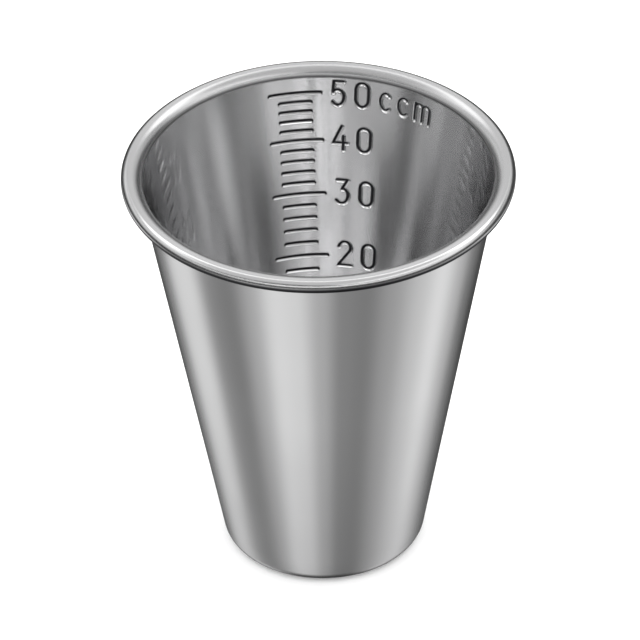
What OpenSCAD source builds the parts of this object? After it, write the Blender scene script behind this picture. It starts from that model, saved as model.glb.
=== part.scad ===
// Graduated medicine cup, drawn from one stainless steel sheet.
// Frame: origin at the centre of the underside of the base, +Z up along the axis of the cup.
// The scale is stamped inside, on the wall nearest +Y.

/* [Cup] */
// Outside diameter of the rolled rim
rim_d = 51; // [46:0.5:64]
// Height from the table to the top of the rim
height = 57.6; // [50:0.1:80]
// Diameter at which the cone of the wall would meet the table
base_d = 26.2; // [20:0.1:32]
// Outside radius of the corner between base and wall
corner_r = 2; // [1.5:0.1:5]
// Thickness of the sheet
wall = 0.6; // [0.4:0.05:0.8]

/* [Rim] */
// Radius, on the inside of the cup, over which the mouth flares outward
flare_r = 1.5; // [1.2:0.05:2.5]
// Width of the level land between the flare and the roll
land_w = 0.5; // [0.2:0.05:1.5]
// Outside radius of the rolled edge
roll_r = 0.85; // [0.85:0.05:1.4]
// Turn of the rolled edge, from level outward to its end
roll_turn = 200; // [150:5:240]

/* [Scale] */
// Dose at the lowest line, in cubic centimetres
first_mark = 10; // [2:2:20]
// Dose at the highest line, in cubic centimetres
last_mark = 50; // [30:10:50]
// Dose between two lines, in cubic centimetres
mark_step = 2; // [1:Every 1, 2:Every 2, 5:Every 5]
// Dose between two long lines, in cubic centimetres
long_every = 10; // [10:Every 10, 20:Every 20]
// Volume of a thick dose that stays in the cup when it is poured out, in cubic centimetres
left_over = 2.7; // [0:0.1:4]
// Length of a long line along the wall
long_len = 7.4; // [4:0.1:9]
// Length of a short line along the wall
short_len = 4.7; // [2:0.1:6]
// Width of a line
mark_w = 0.6; // [0.3:0.02:0.7]
// Depth of a line below the surface of the wall
mark_depth = 0.14; // [0.06:0.01:0.2]
// Direction of the middle of the lines, in degrees round from +X
mark_dir = 97.5; // [60:0.5:120]

/* [Hidden] */
$fn = 96;

// Centre of the rolled edge, and of the flare below its land
roll_x = rim_d / 2 - roll_r;
roll_z = height - roll_r;
flare_x = roll_x - land_w;
flare_z = height - flare_r;

// The outside line of the wall starts at the table and is tangent to the underside of the flare
under_r = flare_r - wall;
flare_dist = norm([flare_x - base_d / 2, flare_z]);
lean = atan2(flare_x - base_d / 2, flare_z) - asin(under_r / flare_dist);

// Centre of the corner, tangent to the table and to the wall
corner_x = base_d / 2 - corner_r * (1 - sin(lean)) / cos(lean);
corner_in = corner_r - wall;

// Radius of the inside of the cup at height z, and where its straight part begins and ends
inside_0 = base_d / 2 - wall / cos(lean);
function inside_r(z) = inside_0 + z * tan(lean);
wall_low = corner_r - corner_in * sin(lean);
wall_high = flare_z + flare_r * sin(lean);

// Volume held by a frustum, and by the rounded corner up to height z, in cubic millimetres
function frustum(h, a, b) = PI * h * (a * a + a * b + b * b) / 3;
function corner_at(z) = corner_x + sqrt(max(0, pow(corner_in, 2) - pow(corner_r - z, 2)));
slices = 24;
slice_h = (wall_low - wall) / slices;
slice_vol = [for (i = [0:slices - 1])
    frustum(slice_h, corner_at(wall + i * slice_h), corner_at(wall + (i + 1) * slice_h))];
function sum(list, i = 0) = i < len(list) ? list[i] + sum(list, i + 1) : 0;
corner_vol = sum(slice_vol);
function held(z) = corner_vol + frustum(z - wall_low, inside_r(wall_low), inside_r(z));

// Height at which the cup holds a volume, found by halving the range between two heights
function level(vol, low, high, n = 30) =
    n == 0 ? (low + high) / 2 :
    held((low + high) / 2) < vol ? level(vol, (low + high) / 2, high, n - 1) :
    level(vol, low, (low + high) / 2, n - 1);

// Height of the line for a dose that is poured out
function mark_z(dose) = level((dose + left_over) * 1000, wall_low, wall_high);

// Only the lines that fall on the straight part of the wall are stamped
top_vol = held(wall_high - mark_w);
low_vol = held(wall_low + mark_w);
marks = [for (v = [first_mark:mark_step:last_mark])
    if ((v + left_over) * 1000 > low_vol && (v + left_over) * 1000 < top_vol) v];

// Round tool whose tip leaves a line of mark_w by mark_depth
tool_r = (pow(mark_w / 2, 2) + pow(mark_depth, 2)) / (2 * mark_depth);

// Part of a ring of the sheet round a centre, between two directions less than 180 degrees apart
module bend(x, z, outer, from, to) {
    mid = (from + to) / 2;
    far = 2 * outer / cos((to - from) / 2);
    translate([x, z]) {
        intersection() {
            difference() {
                circle(r = outer);
                circle(r = outer - wall);
            }
            polygon([
                [0, 0],
                [far * cos(from), far * sin(from)],
                [far * cos(mid), far * sin(mid)],
                [far * cos(to), far * sin(to)]
            ]);
        }
    }
}

// Straight strip of the sheet between two bends
module strip(a, b, dir) {
    polygon([a, b, b + wall * dir, a + wall * dir]);
}

// Flat base and the corner round it
module base_ring() {
    cylinder(r = corner_x, h = wall);
    rotate_extrude() {
        bend(corner_x, corner_r, corner_r, -90, -lean);
    }
}

// Conical wall between the corner and the flare
module wall_cone() {
    across = [-cos(lean), sin(lean)];
    low = [corner_x, corner_r] - corner_r * across;
    high = [flare_x, flare_z] + under_r * across;
    rotate_extrude() {
        strip(low, high, across);
    }
}

// Mouth that flares outward, its narrow land, and the sheet rolled down and under
module rolled_rim() {
    rotate_extrude() {
        bend(flare_x, flare_z, flare_r, 90, 180 - lean);
    }
    translate([0, 0, height - wall]) {
        difference() {
            cylinder(r = roll_x, h = wall);
            translate([0, 0, -1]) {
                cylinder(r = flare_x, h = wall + 2);
            }
        }
    }
    rotate_extrude() {
        bend(roll_x, roll_z, roll_r, -10, 90);
    }
    rotate_extrude() {
        bend(roll_x, roll_z, roll_r, 90 - roll_turn, -10);
    }
}

module sheet() {
    union() {
        base_ring();
        wall_cone();
        rolled_rim();
    }
}

// Cutter for one line, laid along the wall at the height z
module line_cutter(z, length) {
    turn = length / inside_r(z) * 180 / PI;
    off = tool_r - mark_depth;
    rotate([0, 0, mark_dir - turn / 2]) {
        rotate_extrude(angle = turn) {
            translate([inside_r(z) - off * cos(lean), z + off * sin(lean)]) {
                circle(r = tool_r);
            }
        }
    }
}

module scale_lines() {
    for (v = marks) {
        length = v % long_every == 0 ? long_len : short_len;
        line_cutter(mark_z(v), length);
    }
}

module cup() {
    color("silver") {
        difference() {
            sheet();
            scale_lines();
        }
    }
}

cup();
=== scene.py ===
# %% [markdown]
# # A small steel medicine cup
# This lesson dresses a measured part. The part is a tapered cup pressed from one steel sheet, with a
# mouth that flares out into a rolled rim and a volume scale stamped inside. The measured solid is
# loaded first and stays the fixed frame, so every size below is the size of the real cup.

# %% Load the frame
import math
import bpy
import numpy as np
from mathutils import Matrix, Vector


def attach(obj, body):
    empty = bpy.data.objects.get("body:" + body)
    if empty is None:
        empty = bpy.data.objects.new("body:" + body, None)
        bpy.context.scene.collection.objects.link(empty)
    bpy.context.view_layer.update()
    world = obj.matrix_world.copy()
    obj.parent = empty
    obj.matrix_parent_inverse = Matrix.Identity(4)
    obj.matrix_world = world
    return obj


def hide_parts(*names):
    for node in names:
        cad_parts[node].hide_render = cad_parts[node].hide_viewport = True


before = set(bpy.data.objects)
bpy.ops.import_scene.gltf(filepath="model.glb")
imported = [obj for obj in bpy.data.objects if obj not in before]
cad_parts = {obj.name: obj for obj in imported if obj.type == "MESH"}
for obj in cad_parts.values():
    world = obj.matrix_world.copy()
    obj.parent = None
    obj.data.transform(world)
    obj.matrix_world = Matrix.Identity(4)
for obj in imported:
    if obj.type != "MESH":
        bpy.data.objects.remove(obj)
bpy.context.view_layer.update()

# %% [markdown]
# ## The sizes of the sheet
# A drawn cup has one thickness of steel everywhere, so it is easiest to think of it as a line that is
# turned round the axis. The line starts in the middle of the floor, turns up through the corner, climbs
# the cone, flares outward over a small radius, runs level for a moment and rolls down and under. The
# same few numbers that size the solid give that line here, in millimetres.

# %% Sizes in millimetres
MM = 0.001
RIM_D, HEIGHT, BASE_D, CORNER, WALL = 51.0, 57.6, 26.2, 2.0, 0.6
FLARE, LAND, ROLL, ROLL_TURN = 1.5, 0.5, 0.85, 200.0

roll_x, roll_z = RIM_D / 2 - ROLL, HEIGHT - ROLL
flare_x, flare_z = roll_x - LAND, HEIGHT - FLARE
reach = math.hypot(flare_x - BASE_D / 2, flare_z)
lean = math.atan2(flare_x - BASE_D / 2, flare_z) - math.asin((FLARE - WALL) / reach)
corner_x = BASE_D / 2 - CORNER * (1 - math.sin(lean)) / math.cos(lean)
corner_in = CORNER - WALL
wall_low = CORNER - corner_in * math.sin(lean)
wall_high = flare_z + FLARE * math.sin(lean)


def inside_r(z):
    """Radius of the straight inside wall at height z."""
    return BASE_D / 2 - WALL / math.cos(lean) + z * math.tan(lean)


print("the wall leans", round(math.degrees(lean), 2), "degrees from upright")
print("straight wall from", round(wall_low, 2), "to", round(wall_high, 2), "mm")

# %% [markdown]
# ## Stations along the line
# Curves need close stations and straight stretches need few. The cone is straight from bottom to top,
# so its rows are only there to be cut finer later, where the scale is pressed in.

# %% Stations of the upper skin, from the middle of the floor to the end of the roll
COLUMNS = 320
WALL_ROWS = 26


def turn(cx, cz, r, start, stop, steps):
    """Points on an arc round (cx, cz), without its first point, angles in degrees."""
    angles = [math.radians(start + (stop - start) * i / steps) for i in range(1, steps + 1)]
    return [(cx + r * math.cos(a), cz + r * math.sin(a)) for a in angles]


lean_deg = math.degrees(lean)
stations = [(6.0, WALL), (corner_x, WALL)]
stations += turn(corner_x, CORNER, corner_in, -90, -lean_deg, 9)
rows = [wall_low + (wall_high - wall_low) * i / WALL_ROWS for i in range(1, WALL_ROWS + 1)]
stations += [(inside_r(z), z) for z in rows]
stations += turn(flare_x, flare_z, FLARE, 180 - lean_deg, 90, 9)
stations += [(roll_x, HEIGHT)]
stations += turn(roll_x, roll_z, ROLL, 90, 90 - ROLL_TURN, 18)
print("stations:", len(stations))

# %% [markdown]
# ## Turning the sheet
# By hand this is a disc whose rim is extruded again and again: each new ring is scaled out from the axis
# and lifted to its station. The disc is a fan of triangles, so the middle of the floor is closed. Only
# the skin that faces the drink is made this way. Its normals point into the cup.

# %% Helpers for picking parts of a mesh
def only(obj):
    """Leaves nothing selected but one object, and makes it the active one."""
    for other in bpy.context.selected_objects:
        other.select_set(False)
    obj.select_set(True)
    bpy.context.view_layer.objects.active = obj


def pick(obj, kind, mask):
    """Selects vertices, edges or faces by a mask, and enters edit mode."""
    mesh = obj.data
    for name, items in (("VERT", mesh.vertices), ("EDGE", mesh.edges), ("FACE", mesh.polygons)):
        chosen = mask if name == kind else np.zeros(len(items), bool)
        items.foreach_set("select", np.asarray(chosen, bool))
    bpy.context.tool_settings.mesh_select_mode = (kind == "VERT", kind == "EDGE", kind == "FACE")
    bpy.ops.object.mode_set(mode="EDIT")


def places(obj):
    """All vertex places of a mesh in millimetres."""
    co = np.empty(len(obj.data.vertices) * 3, np.float32)
    obj.data.vertices.foreach_get("co", co)
    return co.reshape(-1, 3).astype(float) / MM


def put(obj, co):
    """Writes vertex places, given in millimetres."""
    obj.data.vertices.foreach_set("co", (co * MM).astype(np.float32).ravel())
    obj.data.update()


# %% The skin of the cup, ring by ring
for other in bpy.context.selected_objects:
    other.select_set(False)
bpy.ops.mesh.primitive_circle_add(vertices=COLUMNS, radius=2.0 * MM, fill_type="TRIFAN")
cup = bpy.context.object
cup.name = "steel_cup"
co = places(cup)
co[:, 2] = WALL
put(cup, co)

edge_of_disc = np.hypot(co[:, 0], co[:, 1]) > 1.0
pick(cup, "VERT", edge_of_disc)
bpy.ops.mesh.select_mode(type="EDGE")
last_r, last_z = 2.0, WALL
for r, z in stations:
    bpy.ops.mesh.extrude_edges_move()
    bpy.ops.transform.resize(value=(r / last_r, r / last_r, 1), center_override=(0, 0, 0))
    bpy.ops.transform.translate(value=(0, 0, (z - last_z) * MM))
    last_r, last_z = r, z
bpy.ops.mesh.select_all(action="SELECT")
bpy.ops.mesh.normals_make_consistent(inside=False)
bpy.ops.object.mode_set(mode="OBJECT")

floor_face = min(cup.data.polygons, key=lambda p: Vector(p.center[:2]).length)
if floor_face.normal.z < 0:
    pick(cup, "FACE", np.ones(len(cup.data.polygons), bool))
    bpy.ops.mesh.flip_normals()
    bpy.ops.object.mode_set(mode="OBJECT")
print("skin:", len(cup.data.polygons), "faces")

# %% [markdown]
# ## Giving the sheet its thickness
# Solidify grows the second skin on the far side of the normals, which is the outside of the cup. The
# even option keeps the thickness true round the corner, the flare and the roll.

# %% One thickness of steel
only(cup)
sheet = cup.modifiers.new("sheet", "SOLIDIFY")
sheet.thickness = WALL * MM
sheet.offset = -1
sheet.use_even_offset = True
sheet.use_quality_normals = True
bpy.ops.object.modifier_apply(modifier=sheet.name)
size = places(cup).max(0) - places(cup).min(0)
print("sheet with both skins:", len(cup.data.polygons), "faces, size", size.round(3))

# %% [markdown]
# ## Where the lines of the scale belong
# A cone holds more in its upper part than in its lower part, so equal doses are closer together near
# the mouth. The held volume is worked out from the inside shape, and each line's height is found by
# halving the range until the volume fits. A thick dose leaves a little in the cup when it is poured
# out, so each line holds that much more than it says. The solid does the same, so the lines agree.

# %% Heights from the volume held
def frustum(h, a, b):
    return math.pi * h * (a * a + a * b + b * b) / 3


def corner_r(z):
    return corner_x + math.sqrt(max(0, corner_in ** 2 - (CORNER - z) ** 2))


steps = np.linspace(WALL, wall_low, 25)
corner_volume = sum(frustum(b - a, corner_r(a), corner_r(b)) for a, b in zip(steps, steps[1:]))


def held(z):
    """Volume in cubic millimetres below height z."""
    return corner_volume + frustum(z - wall_low, inside_r(wall_low), inside_r(z))


def level(volume):
    """Height at which the cup holds a volume in cubic centimetres."""
    low, high = wall_low, wall_high
    for _ in range(40):
        middle = (low + high) / 2
        low, high = (middle, high) if held(middle) < volume * 1000 else (low, middle)
    return (low + high) / 2


LEFT_OVER = 2.7
heights = {dose: level(dose + LEFT_OVER) for dose in range(10, 51, 2)}
print("line heights in mm", {v: round(z, 2) for v, z in heights.items() if v % 10 == 0})

# %% [markdown]
# ## Strokes of the stamp
# The stamp that marks the cup has round-nosed strokes: a bar for each line, and numerals and unit
# letters drawn with one stroke width. Each stroke is a chain of points on the wall laid flat, in
# millimetres, x to the right and y up, from the middle of its own figure.

# %% Figures drawn as chains of points
def oval(cx, cy, rx, ry, start, stop, steps=18):
    """Chain along an oval, angles in degrees."""
    angles = [math.radians(start + (stop - start) * i / steps) for i in range(steps + 1)]
    return [(cx + rx * math.cos(a), cy + ry * math.sin(a)) for a in angles]


TOP = 1.7
FIGURES = {
    "0": [oval(0, 0.72, 0.86, TOP - 0.72, 0, 180) + oval(0, -0.72, 0.86, TOP - 0.72, 180, 360)
          + [(0.86, 0.72)]],
    "1": [[(-0.45, 1.1), (0.12, TOP), (0.12, -TOP)]],
    "2": [oval(-0.02, 0.78, 0.78, TOP - 0.78, 165, -25) + [(-0.82, -TOP), (0.84, -TOP)]],
    "3": [[(-0.7, TOP), (0.68, TOP), (-0.02, 0.36)] + oval(-0.1, -0.64, 0.86, TOP - 0.64, 78, -145)],
    "4": [[(0.2, TOP), (-0.88, -0.7), (0.94, -0.7)], [(0.42, 0.25), (0.42, -TOP)]],
    "5": [[(0.72, TOP), (-0.56, TOP), (-0.66, 0.12)] + oval(-0.06, -0.6, 0.84, TOP - 0.6, 132, -145)],
    "c": [oval(0.04, 0, 0.74, 1.2, 48, 312)],
    "m": [[(-1.12, -1.2), (-1.12, 1.2)], oval(-0.56, 0.55, 0.56, 0.6, 180, 0) + [(0, -1.2)],
          oval(0.56, 0.55, 0.56, 0.6, 180, 0) + [(1.12, -1.2)]],
}

# %% Where each figure stands
SCALE_DIR = math.radians(97.5)
LONG, SHORT = 7.4, 4.7
LINE_W, LINE_DEEP = 0.66, 0.13
FIGURE_W, FIGURE_DEEP = 0.7, 0.14
FIRST_DIGIT, SECOND_DIGIT = 5.78, 9.0

strokes = []
for dose, z in heights.items():
    half = (LONG if dose % 10 == 0 else SHORT) / 2 - LINE_W / 2
    strokes.append((z, [(-half, 0), (half, 0)], LINE_W, LINE_DEEP, "line"))
    lift = -0.1 if dose == 50 else 0.3
    if dose % 10 == 0:
        for digit, x in zip(str(dose), (FIRST_DIGIT, SECOND_DIGIT)):
            for chain in FIGURES[digit]:
                strokes.append((z, [(x + a, b + lift) for a, b in chain], FIGURE_W, FIGURE_DEEP, "numeral"))
for letter, x in (("c", 12.25), ("c", 14.85), ("m", 17.85)):
    for chain in FIGURES[letter]:
        strokes.append((heights[50], [(x + a, b - 0.5) for a, b in chain], FIGURE_W, FIGURE_DEEP, "letter"))
print("strokes:", len(strokes))

# %% [markdown]
# ## Cutting the wall finer where it is stamped
# Pressed lines two thirds of a millimetre wide need faces a good deal smaller than that, but only under
# the strokes. So the rows are cut closer on the side of the scale first, and then the faces that a
# stroke comes near are divided again. The rest of the cup keeps its light mesh.

# %% How far a place is from a stroke
def on_wall(co):
    """True for places on the straight inside wall."""
    r = np.hypot(co[:, 0], co[:, 1])
    z = co[:, 2]
    fit = BASE_D / 2 - WALL / math.cos(lean) + z * math.tan(lean)
    return (np.abs(r - fit) < 0.03) & (z > wall_low + 0.05) & (z < wall_high - 0.01)


def laid_flat(co, z0):
    """x and y on the wall laid flat, from the middle of the scale at height z0."""
    away = SCALE_DIR - np.arctan2(co[:, 1], co[:, 0])
    return away * inside_r(z0), (co[:, 2] - z0) / math.cos(lean)


def from_chain(x, y, chain):
    """Distance of each place from a chain of points."""
    near = np.full(len(x), 99.0)
    for (ax, ay), (bx, by) in zip(chain, chain[1:]):
        dx, dy = bx - ax, by - ay
        t = np.clip(((x - ax) * dx + (y - ay) * dy) / (dx * dx + dy * dy), 0, 1)
        near = np.minimum(near, np.hypot(x - ax - t * dx, y - ay - t * dy))
    return near


def near_strokes(co, margin):
    """True where a stroke's edge is nearer than the margin."""
    hit = np.zeros(len(co), bool)
    for z0, chain, width, _, _ in strokes:
        x, y = laid_flat(co, z0)
        span = np.array(chain)
        box = ((x > span[:, 0].min() - 1.5) & (x < span[:, 0].max() + 1.5)
               & (np.abs(y) < np.abs(span[:, 1]).max() + 1.5))
        spot = np.flatnonzero(box)
        hit[spot] |= from_chain(x[spot], y[spot], chain) < width / 2 + margin
    return hit


# %% Closer rows on the side of the scale
def face_middles(obj):
    c = np.empty(len(obj.data.polygons) * 3, np.float32)
    obj.data.polygons.foreach_get("center", c)
    return c.reshape(-1, 3).astype(float) / MM


co = places(cup)
ends = np.empty(len(cup.data.edges) * 2, np.int32)
cup.data.edges.foreach_get("vertices", ends)
ends = ends.reshape(-1, 2)
middle = (co[ends[:, 0]] + co[ends[:, 1]]) / 2
upright = np.abs(co[ends[:, 0], 2] - co[ends[:, 1], 2]) > 1.0
bearing = np.degrees(np.arctan2(middle[:, 1], middle[:, 0]))
scale_side = (bearing > 46) & (bearing < 112) & (middle[:, 2] > heights[10] - 3)
pick(cup, "EDGE", upright & scale_side & on_wall(middle))
bpy.ops.mesh.subdivide(number_cuts=3)
bpy.ops.object.mode_set(mode="OBJECT")
print("after the rows:", len(cup.data.polygons), "faces")

# %% Fine faces under the strokes
centres = face_middles(cup)
stamped = on_wall(centres) & near_strokes(centres, 0.34)
pick(cup, "FACE", stamped)
bpy.ops.mesh.subdivide(number_cuts=4)
bpy.ops.object.mode_set(mode="OBJECT")
print("stamped faces:", int(stamped.sum()), "now", len(cup.data.polygons), "faces in all")

# %% [markdown]
# ## Pressing the stamp
# Each place under a stroke moves outward, deepest along the middle of the stroke and nothing at its
# edge. The sides of a stroke are nearly straight slopes of about twenty degrees, which catch the light
# from the front, and only its edge and its bottom are rounded. Where strokes cross, the deeper one
# counts. The new places are first set back on the true cone, because cutting a flat face leaves them on
# the flat.

# %% Press
def slope(t):
    """Share of the full depth, from the middle of a stroke (0) to its edge (1)."""
    soft = 0.12
    rounded = np.where(t < soft, t * t / (2 * soft), t - soft / 2)
    end = 1 - soft
    rounded = np.where(t > end, end - soft / 2 + (t - end) * (1 - (t - end) / (2 * soft)), rounded)
    return 1 - rounded / (1 - soft)


def pressed(bearing, z):
    """Depth of the stamp, and where shade is painted dark, at places on the wall."""
    depth, dark = np.zeros(len(z)), np.zeros(len(z))
    for z0, chain, width, deep, kind in strokes:
        x, y = (SCALE_DIR - bearing) * inside_r(z0), (z - z0) / math.cos(lean)
        span = np.array(chain)
        box = ((x > span[:, 0].min() - 1) & (x < span[:, 0].max() + 1)
               & (np.abs(y) < np.abs(span[:, 1]).max() + 1))
        spot = np.flatnonzero(box)
        x, y = x[spot], y[spot]
        t = np.clip(from_chain(x, y, chain) / (width / 2), 0, 1)
        depth[spot] = np.maximum(depth[spot], deep * slope(t))
        # Painted shade: dark along a line's upper edge and past its ends, and in a figure's stroke a little up
        # and to the left.
        if kind == "line":
            past_end = np.clip((np.abs(x) - span[1, 0]) / (width / 2), 0, 1)
            upper = np.clip((y / (width / 2) + 0.5 + 0.8 * past_end) / 0.25, 0, 1)
            shade = upper * np.clip((1 - t) / 0.12, 0, 1)
        else:
            aside, half = (0.08, 0.23) if kind == "numeral" else (0.12, 0.17)
            shade = np.clip((1 - from_chain(x + aside, y - aside, chain) / half) / 0.3, 0, 1)
        dark[spot] = np.maximum(dark[spot], shade)
    return depth, dark


co = places(cup)
wall_spots = np.flatnonzero(on_wall(co))
bearing = np.arctan2(co[:, 1], co[:, 0])
b, z = bearing[wall_spots], co[wall_spots, 2]
depth, stamp_dark = pressed(b, z)
outward = np.stack([np.cos(b) * math.cos(lean), np.sin(b) * math.cos(lean),
                    np.full(len(b), -math.sin(lean))], 1)
co[wall_spots, 0], co[wall_spots, 1] = np.cos(b) * inside_r(z), np.sin(b) * inside_r(z)
co[wall_spots] += outward * depth[:, None]
put(cup, co)
print("deepest", round(float(depth.max()), 3), "mm, places moved", int((depth > 0.001).sum()))

# %% [markdown]
# ## Normals from the true shape
# Steel shows the smallest error of a normal, and a fine face beside a coarse one has such an error. So
# the normals of the wall are worked out from the shape that was meant: those of the cone, tipped by the
# slope of the stamp. The level places get upright ones. The curves keep the ones that Blender makes.

# %% True normals
NEAR = 0.02
right, left = pressed(b - NEAR / inside_r(z), z)[0], pressed(b + NEAR / inside_r(z), z)[0]
above = pressed(b, z + NEAR * math.cos(lean))[0]
beneath = pressed(b, z - NEAR * math.cos(lean))[0]
along = np.stack([np.sin(b), -np.cos(b), np.zeros(len(b))], 1)
up = np.stack([np.cos(b) * math.sin(lean), np.sin(b) * math.sin(lean), np.full(len(b), math.cos(lean))], 1)
across, upward = (right - left) / (2 * NEAR), (above - beneath) / (2 * NEAR)
tipped = -outward + along * across[:, None] + up * upward[:, None]

r_all, z_all = np.hypot(co[:, 0], co[:, 1]), co[:, 2]
cone = np.stack([np.cos(bearing) * math.cos(lean), np.sin(bearing) * math.cos(lean),
                 np.full(len(co), -math.sin(lean))], 1)
normals = np.zeros((len(co), 3))
ends_of_wall = (np.abs(r_all - inside_r(z_all)) < 0.02) & (z_all > wall_low - 0.01) & (z_all < wall_high + 0.01)
normals[ends_of_wall] = -cone[ends_of_wall]
outer_high = flare_z + (FLARE - WALL) * math.sin(lean)
outer_wall = ((np.abs(r_all - BASE_D / 2 - z_all * math.tan(lean)) < 0.02)
              & (z_all > CORNER * (1 - math.sin(lean)) - 0.01) & (z_all < outer_high + 0.01))
normals[outer_wall] = cone[outer_wall]
normals[wall_spots] = tipped / np.linalg.norm(tipped, axis=1)[:, None]
normals[(z_all > HEIGHT - 0.005) | ((np.abs(z_all - WALL) < 0.005) & (r_all < corner_x + 0.01))] = (0, 0, 1)
normals[z_all < 0.005] = (0, 0, -1)
print("places with a true normal:", int((np.abs(normals).sum(1) > 0).sum()), "of", len(co))

# %% [markdown]
# ## Painted shade, and where the finish differs
# A cup like this is polished on wheels. Shade is painted dark into the colour of the steel along the upper edge
# and the ends of a stamped line, along the strokes of the numerals and letters, in the crease where the mouth
# starts to flare and under the roll, and the steel is made rougher there as well.
# The inside gets a finer wheel than the outside, and the lip is only rubbed by hand. All three are kept
# on the mesh as attributes, each a number from 0 to 1 on every place, and the material reads them.

# %% Attributes for painted shade and the finish
r, z = np.hypot(co[:, 0], co[:, 1]), co[:, 2]
round_roll = np.degrees(np.arctan2(r - roll_x, z - roll_z))
on_roll = np.abs(np.hypot(r - roll_x, z - roll_z) - ROLL) < 0.03
under_roll = np.where(round_roll < -90, round_roll + 360, round_roll)
# Painted shade: dark on the underside of the roll.
dark = np.where(on_roll & (r > flare_x), np.clip((under_roll - 78) / 14, 0, 1), 0.0)
round_flare = np.degrees(np.arctan2(flare_x - r, z - flare_z))
on_flare = np.abs(np.hypot(r - flare_x, z - flare_z) - FLARE) < 0.03
# Painted shade in the crease where the mouth starts to flare.
crease_shade = np.clip(1 - np.abs(round_flare - 71) / 14, 0, 1)
dark = np.where(on_flare & (r < flare_x) & (z > wall_high + 0.02), 0.8 * crease_shade, dark)
# The stamp's painted shade on the wall.
dark[wall_spots] = stamp_dark
near_axis = r < inside_r(z) + WALL / 2
in_corner = np.hypot(r - corner_x, CORNER - z) < CORNER - WALL / 2
inner = np.where((z < CORNER) & (r > corner_x), in_corner, near_axis) & (z > WALL / 2) & (z < wall_high)
lip = np.where(r < roll_x + 0.02, 1.0, 0.3) * ((z > wall_high + 0.02) & ~inner)
for name, value in (("painted_shade", dark), ("inside", inner), ("lip", lip)):
    layer_on_cup = cup.data.attributes.new(name, "FLOAT", "POINT")
    layer_on_cup.data.foreach_set("value", value.astype(np.float32))
    print(name, "on", int((value > 0.5).sum()), "places")

# %% [markdown]
# ## Smooth shading
# Everything on the cup is a smooth curve except the cut end of the sheet under the roll, so faces are
# shaded smooth and only edges sharper than a set angle stay crisp.

# %% Shade and hand the piece to the frame
only(cup)
bpy.ops.object.shade_smooth_by_angle(angle=math.radians(50))
cup.data.normals_split_custom_set_from_vertices(normals.tolist())
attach(cup, "root")
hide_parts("cup")
print("triangles:", sum(len(p.vertices) - 2 for p in cup.data.polygons))

# %% [markdown]
# ## Satin steel
# The real cup is drawn steel that has been brushed lightly round its axis and then worn smooth in a
# steriliser. From a step away it looks like soft-edged upright bands of light, because fine scratches
# that run round the cup smear every highlight up and down. The shader does that with its anisotropy.
# Close up the bands break into fine rings. A bump made from stretched noise gives the rings, and a soft
# cloud in the roughness makes some places duller than others. The steel is duller towards the base, where
# it is set down and handled; shade is painted into its colour, darker towards the base. It is greyer on the
# lip.

# %% Node group: rings left by brushing round the axis
def socket(group, name, kind, value=None, side="INPUT"):
    made = group.interface.new_socket(name=name, in_out=side, socket_type=kind)
    if value is not None:
        made.default_value = value
    return made


def ring_grain():
    """Fine rings round the upright axis: a height and a mask."""
    group = bpy.data.node_groups.new("ring_grain", "ShaderNodeTree")
    socket(group, "Rings per metre", "NodeSocketFloat", 9000.0)
    socket(group, "Height", "NodeSocketFloat", side="OUTPUT")
    socket(group, "Cloud", "NodeSocketFloat", side="OUTPUT")
    nodes, links = group.nodes, group.links
    start, end = nodes.new("NodeGroupInput"), nodes.new("NodeGroupOutput")
    where = nodes.new("ShaderNodeTexCoord")
    parts = nodes.new("ShaderNodeSeparateXYZ")
    links.new(where.outputs["Object"], parts.inputs[0])
    angle = nodes.new("ShaderNodeMath"); angle.operation = "ARCTAN2"
    links.new(parts.outputs["Y"], angle.inputs[0])
    links.new(parts.outputs["X"], angle.inputs[1])
    wrap = nodes.new("ShaderNodeCombineXYZ")
    for axis, op in (("X", "COSINE"), ("Y", "SINE")):
        part = nodes.new("ShaderNodeMath"); part.operation = op
        links.new(angle.outputs[0], part.inputs[0])
        links.new(part.outputs[0], wrap.inputs[axis])
    rise = nodes.new("ShaderNodeMath"); rise.operation = "MULTIPLY"
    links.new(parts.outputs["Z"], rise.inputs[0])
    links.new(start.outputs["Rings per metre"], rise.inputs[1])
    links.new(rise.outputs[0], wrap.inputs["Z"])
    rings = nodes.new("ShaderNodeTexNoise")
    rings.inputs["Scale"].default_value = 1.0
    rings.inputs["Detail"].default_value = 3.0
    rings.inputs["Roughness"].default_value = 0.6
    links.new(wrap.outputs[0], rings.inputs["Vector"])
    cloud = nodes.new("ShaderNodeTexNoise")
    cloud.inputs["Scale"].default_value = 90.0
    cloud.inputs["Detail"].default_value = 2.0
    links.new(where.outputs["Object"], cloud.inputs["Vector"])
    links.new(rings.outputs["Fac"], end.inputs["Height"])
    links.new(cloud.outputs["Fac"], end.inputs["Cloud"])
    return group


grain_group = ring_grain()
print("node group", grain_group.name, "with outputs", [s.name for s in grain_group.interface.items_tree])

# %% Satin steel material
def spread_over(nodes, links, value, low, high, first, last):
    """Maps a value from one range to another."""
    part = nodes.new("ShaderNodeMapRange")
    for name, number in (("From Min", low), ("From Max", high), ("To Min", first), ("To Max", last)):
        part.inputs[name].default_value = number
    links.new(value, part.inputs["Value"])
    return part.outputs["Result"]


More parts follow.
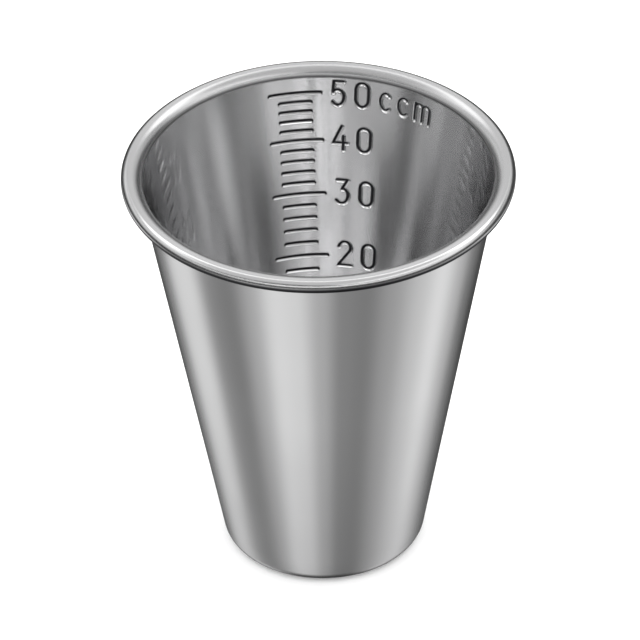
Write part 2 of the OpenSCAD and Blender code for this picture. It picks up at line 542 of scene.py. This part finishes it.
def steel_material(name, colour, base_colour, inside_colour, lip_colour, shine, inside_shine, lip_shine, bump):
    """Shine gives the roughness of the outside at the rim and at the base."""
    mat = bpy.data.materials.new(name)
    mat.use_nodes = True
    nodes, links = mat.node_tree.nodes, mat.node_tree.links
    shader = nodes["Principled BSDF"]
    shader.inputs["Metallic"].default_value = 1.0
    where = nodes.new("ShaderNodeTexCoord")
    parts = nodes.new("ShaderNodeSeparateXYZ")
    links.new(where.outputs["Object"], parts.inputs[0])
    wear = spread_over(nodes, links, parts.outputs["Z"], 0.0, 0.04, shine[1], shine[0])

    grain = nodes.new("ShaderNodeGroup")
    grain.node_tree = grain_group
    patches = spread_over(nodes, links, grain.outputs["Cloud"], 0.3, 0.7, 0.93, 1.07)
    uneven = nodes.new("ShaderNodeMath"); uneven.operation = "MULTIPLY"
    links.new(wear, uneven.inputs[0])
    links.new(patches, uneven.inputs[1])

    skin = nodes.new("ShaderNodeAttribute")
    skin.attribute_name = "inside"
    finer = nodes.new("ShaderNodeMix")
    links.new(skin.outputs["Fac"], finer.inputs["Factor"])
    links.new(uneven.outputs[0], finer.inputs["A"])
    finer.inputs["B"].default_value = inside_shine
    edge = nodes.new("ShaderNodeAttribute")
    edge.attribute_name = "lip"
    softer = nodes.new("ShaderNodeMix")
    links.new(edge.outputs["Fac"], softer.inputs["Factor"])
    links.new(finer.outputs["Result"], softer.inputs["A"])
    softer.inputs["B"].default_value = lip_shine

    # Painted shade: the colour turns darker towards the base.
    darker_low = spread_over(nodes, links, parts.outputs["Z"], 0.002, 0.03, 0.0, 1.0)
    greyer = nodes.new("ShaderNodeMix"); greyer.data_type = "RGBA"
    greyer.inputs["A"].default_value = (*base_colour, 1)
    greyer.inputs["B"].default_value = (*colour, 1)
    links.new(darker_low, greyer.inputs["Factor"])
    brighter = nodes.new("ShaderNodeMix"); brighter.data_type = "RGBA"
    brighter.inputs["B"].default_value = (*inside_colour, 1)
    links.new(greyer.outputs["Result"], brighter.inputs["A"])
    links.new(skin.outputs["Fac"], brighter.inputs["Factor"])
    rubbed = nodes.new("ShaderNodeMix"); rubbed.data_type = "RGBA"
    rubbed.inputs["B"].default_value = (*lip_colour, 1)
    links.new(brighter.outputs["Result"], rubbed.inputs["A"])
    links.new(edge.outputs["Fac"], rubbed.inputs["Factor"])

    # Painted shade: a near-black colour and a rougher finish where the mesh's shade attribute says so.
    stamp = nodes.new("ShaderNodeAttribute")
    stamp.attribute_name = "painted_shade"
    tint = nodes.new("ShaderNodeMix"); tint.data_type = "RGBA"
    links.new(rubbed.outputs["Result"], tint.inputs["A"])
    tint.inputs["B"].default_value = (0.035, 0.035, 0.038, 1)
    links.new(stamp.outputs["Fac"], tint.inputs["Factor"])
    links.new(tint.outputs["Result"], shader.inputs["Base Color"])
    rough = nodes.new("ShaderNodeMix")
    links.new(stamp.outputs["Fac"], rough.inputs["Factor"])
    links.new(softer.outputs["Result"], rough.inputs["A"])
    rough.inputs["B"].default_value = 0.45
    links.new(rough.outputs["Result"], shader.inputs["Roughness"])

    shader.inputs["Anisotropic"].default_value = 0.8
    shader.inputs["Anisotropic Rotation"].default_value = 0.25
    round_axis = nodes.new("ShaderNodeTangent")
    round_axis.direction_type = "RADIAL"
    round_axis.axis = "Z"
    links.new(round_axis.outputs["Tangent"], shader.inputs["Tangent"])

    lift = nodes.new("ShaderNodeBump")
    lift.inputs["Strength"].default_value = bump
    lift.inputs["Distance"].default_value = 0.00002
    links.new(grain.outputs["Height"], lift.inputs["Height"])
    links.new(lift.outputs["Normal"], shader.inputs["Normal"])
    return mat


# The colour at the base is painted darker as shade; the near-black of the painted shade is set inside
# steel_material.
steel = steel_material("satin_steel", (0.66, 0.66, 0.663), (0.55, 0.55, 0.553), (0.76, 0.76, 0.763),
                       (0.52, 0.52, 0.523), (0.165, 0.25), 0.105, 0.25, 0.03)
cup.data.materials.clear()
cup.data.materials.append(steel)
print("material", steel.name)

# %% [markdown]
# ## The studio
# Steel has no look of its own: it shows the room. The picture has a white ground and a cup with soft
# upright bands, so the room that the steel sees is five rings of grey panels, one above the other, and
# each ring is a ramp of tones round the compass. The outside of the cup mirrors the lowest ring. The
# inside mirrors the three upper rings, after three or four bounces between its own walls, and the dark
# panels of the tall ring make its two dark bands. The lip shows the upper rings and the light overhead.
# Everything but steel sees a plain white room. The floor is plain and pale, and the steel doesn't mirror
# it, as when a cup is shot on lit glass.

# %% Floor
bpy.ops.mesh.primitive_plane_add(size=6.0, location=(0, 0, -0.00005))
ground = bpy.context.object
ground.name = "pale_floor"
pale = bpy.data.materials.new("pale_floor")
pale.use_nodes = True
pale.node_tree.nodes["Principled BSDF"].inputs["Base Color"].default_value = (0.93, 0.93, 0.93, 1)
pale.node_tree.nodes["Principled BSDF"].inputs["Roughness"].default_value = 1.0
pale.node_tree.nodes["Principled BSDF"].inputs["Specular IOR Level"].default_value = 0.0
ground.data.materials.append(pale)
ground.visible_glossy = False

# %% Room with panels, by direction
def tones(nodes, stops):
    """A smooth ramp of greys, from (degrees round from the camera's side, light) pairs."""
    ramp = nodes.new("ShaderNodeValToRGB")
    ramp.color_ramp.interpolation = "EASE"
    while len(ramp.color_ramp.elements) > 1:
        ramp.color_ramp.elements.remove(ramp.color_ramp.elements[-1])
    for i, (degrees, light) in enumerate(stops):
        at = (degrees + 180) / 360
        stop = ramp.color_ramp.elements[0] if i == 0 else ramp.color_ramp.elements.new(at)
        stop.position = at
        stop.color = (light, light, light, 1)
    return ramp


def between(nodes, links, value, low, high, first, last):
    """Maps a value from one range to another, smoothly."""
    part = nodes.new("ShaderNodeMapRange")
    part.interpolation_type = "SMOOTHSTEP"
    for name, number in (("From Min", low), ("From Max", high), ("To Min", first), ("To Max", last)):
        part.inputs[name].default_value = number
    links.new(value, part.inputs["Value"])
    return part.outputs["Result"]


world = bpy.data.worlds.new("studio")
bpy.context.scene.world = world
world.use_nodes = True
nodes, links = world.node_tree.nodes, world.node_tree.links
nodes.clear()
way = nodes.new("ShaderNodeTexCoord")
split = nodes.new("ShaderNodeSeparateXYZ")
links.new(way.outputs["Generated"], split.inputs[0])
front = nodes.new("ShaderNodeMath"); front.operation = "MULTIPLY"
links.new(split.outputs["Y"], front.inputs[0])
front.inputs[1].default_value = -1.0
bear = nodes.new("ShaderNodeMath"); bear.operation = "ARCTAN2"
links.new(split.outputs["X"], bear.inputs[0])
links.new(front.outputs[0], bear.inputs[1])
round_it = nodes.new("ShaderNodeMapRange")
round_it.inputs["From Min"].default_value = -math.pi
round_it.inputs["From Max"].default_value = math.pi
links.new(bear.outputs[0], round_it.inputs["Value"])

LOW_PANELS = [(-180, 0.04), (-163, 0.07), (-148, 0.26), (-128, 0.92), (-112, 0.98), (-95, 0.32),
              (-75, 0.26), (-57, 0.58), (-38, 1.04), (-20, 0.97), (0, 0.6), (18, 0.33), (38, 0.28),
              (60, 0.47), (86, 0.79), (104, 1.1), (125, 0.62), (140, 0.22), (160, 0.06), (180, 0.04)]
MIDDLE_PANELS = [(-180, 0.04), (-160, 0.15), (-145, 0.5), (-115, 0.7), (-85, 0.65), (-60, 0.65),
                 (-30, 0.6), (0, 0.5), (30, 0.5), (60, 0.6), (90, 0.5), (115, 0.12), (150, 0.1),
                 (180, 0.04)]
UPPER_PANELS = [(-180, 0.7), (-165, 0.9), (-150, 1.25), (-135, 1.15), (-115, 0.95), (-88, 0.9),
                (-60, 1.1), (-38, 1.8), (-15, 2.4), (5, 2.5), (30, 2.1), (55, 1.4), (86, 1.45),
                (104, 1.0), (124, 0.85), (143, 0.9), (160, 0.75), (180, 0.7)]
TALL_PANELS = [(-180, 1.0), (-150, 0.7), (-120, 0.7), (-101, 0.9), (-86, 0.6), (-70, 0.15), (-57, 0.01),
               (-45, 0.01), (-33, 0.15), (-15, 0.3), (5, 0.1), (25, 0.01), (40, 0.03), (52, 0.3),
               (66, 0.8), (84, 1.3), (105, 1.0), (120, 0.45), (140, 0.4), (155, 0.8), (180, 1.0)]
HIGH_PANELS = [(-180, 2.1), (-150, 2.2), (-120, 1.5), (-90, 1.1), (-66, 0.75), (-45, 0.5), (-30, 0.1),
               (-14, 0.02), (3, 0.3), (18, 1.2), (36, 1.7), (55, 1.9), (76, 1.6), (98, 1.3), (122, 2.0),
               (150, 2.7), (180, 2.1)]
OVERHEAD, HORIZON, BELOW = 0.76, 0.04, 0.04


def layer(lower, upper, start, end):
    """Passes from a lower light to an upper one between two rises above the horizon, in degrees."""
    share = between(nodes, links, split.outputs["Z"], math.sin(math.radians(start)),
                    math.sin(math.radians(end)), 0.0, 1.0)
    both = nodes.new("ShaderNodeMix")
    links.new(share, both.inputs["Factor"])
    for name, light in (("A", lower), ("B", upper)):
        if isinstance(light, float):
            both.inputs[name].default_value = light
        else:
            links.new(light, both.inputs[name])
    return both.outputs["Result"]


rings = []
for panels in (LOW_PANELS, MIDDLE_PANELS, UPPER_PANELS, TALL_PANELS, HIGH_PANELS):
    ramp = tones(nodes, panels)
    links.new(round_it.outputs["Result"], ramp.inputs["Fac"])
    rings.append(ramp.outputs["Color"])
light = layer(BELOW, rings[0], -82, -64)
light = layer(light, HORIZON, -22, -10)
light = layer(light, rings[1], 6, 17)
light = layer(light, rings[2], 19, 27)
light = layer(light, rings[3], 29, 33)
light = layer(light, rings[4], 39, 43)
light = layer(light, OVERHEAD, 50, 62)
room = nodes.new("ShaderNodeBackground")
links.new(light, room.inputs["Color"])
plain = nodes.new("ShaderNodeBackground")
plain.inputs["Color"].default_value = (1, 1, 1, 1)
plain.inputs["Strength"].default_value = 1.9
seen = nodes.new("ShaderNodeLightPath")
mixed = nodes.new("ShaderNodeMixShader")
links.new(seen.outputs["Is Glossy Ray"], mixed.inputs["Fac"])
links.new(plain.outputs[0], mixed.inputs[1])
links.new(room.outputs[0], mixed.inputs[2])
done = nodes.new("ShaderNodeOutputWorld")
links.new(mixed.outputs[0], done.inputs["Surface"])
print("rings of panels:", len(rings))

# %% [markdown]
# ## The camera
# The photograph was taken from well back with a long lens, looking down a little over thirty-five
# degrees, and the cup leans one degree in the frame. Light that bounces many times between the walls of
# the cup still counts, so the limit on mirror bounces is raised.

# %% Camera
ELEVATION, DISTANCE, LENS, TILT = math.radians(36.19), 0.9, 386.6, math.radians(-1.01)
AIM = Vector((-0.00011, 0, 0.03349))
eye_data = bpy.data.cameras.new("eye")
eye = bpy.data.objects.new("eye", eye_data)
bpy.context.scene.collection.objects.link(eye)
back = Vector((0, -math.cos(ELEVATION), math.sin(ELEVATION)))
eye.location = AIM + back * DISTANCE
eye.rotation_euler = (-back).to_track_quat("-Z", "Y").to_euler()
eye.rotation_euler.rotate_axis("Z", TILT)
eye_data.sensor_width = 36
eye_data.lens = LENS
eye_data.clip_start, eye_data.clip_end = 0.05, 20
bpy.context.scene.camera = eye
bpy.context.scene.view_settings.view_transform = "Standard"
bpy.context.scene.cycles.glossy_bounces = 10
print("camera at", [round(v, 4) for v in eye.location])
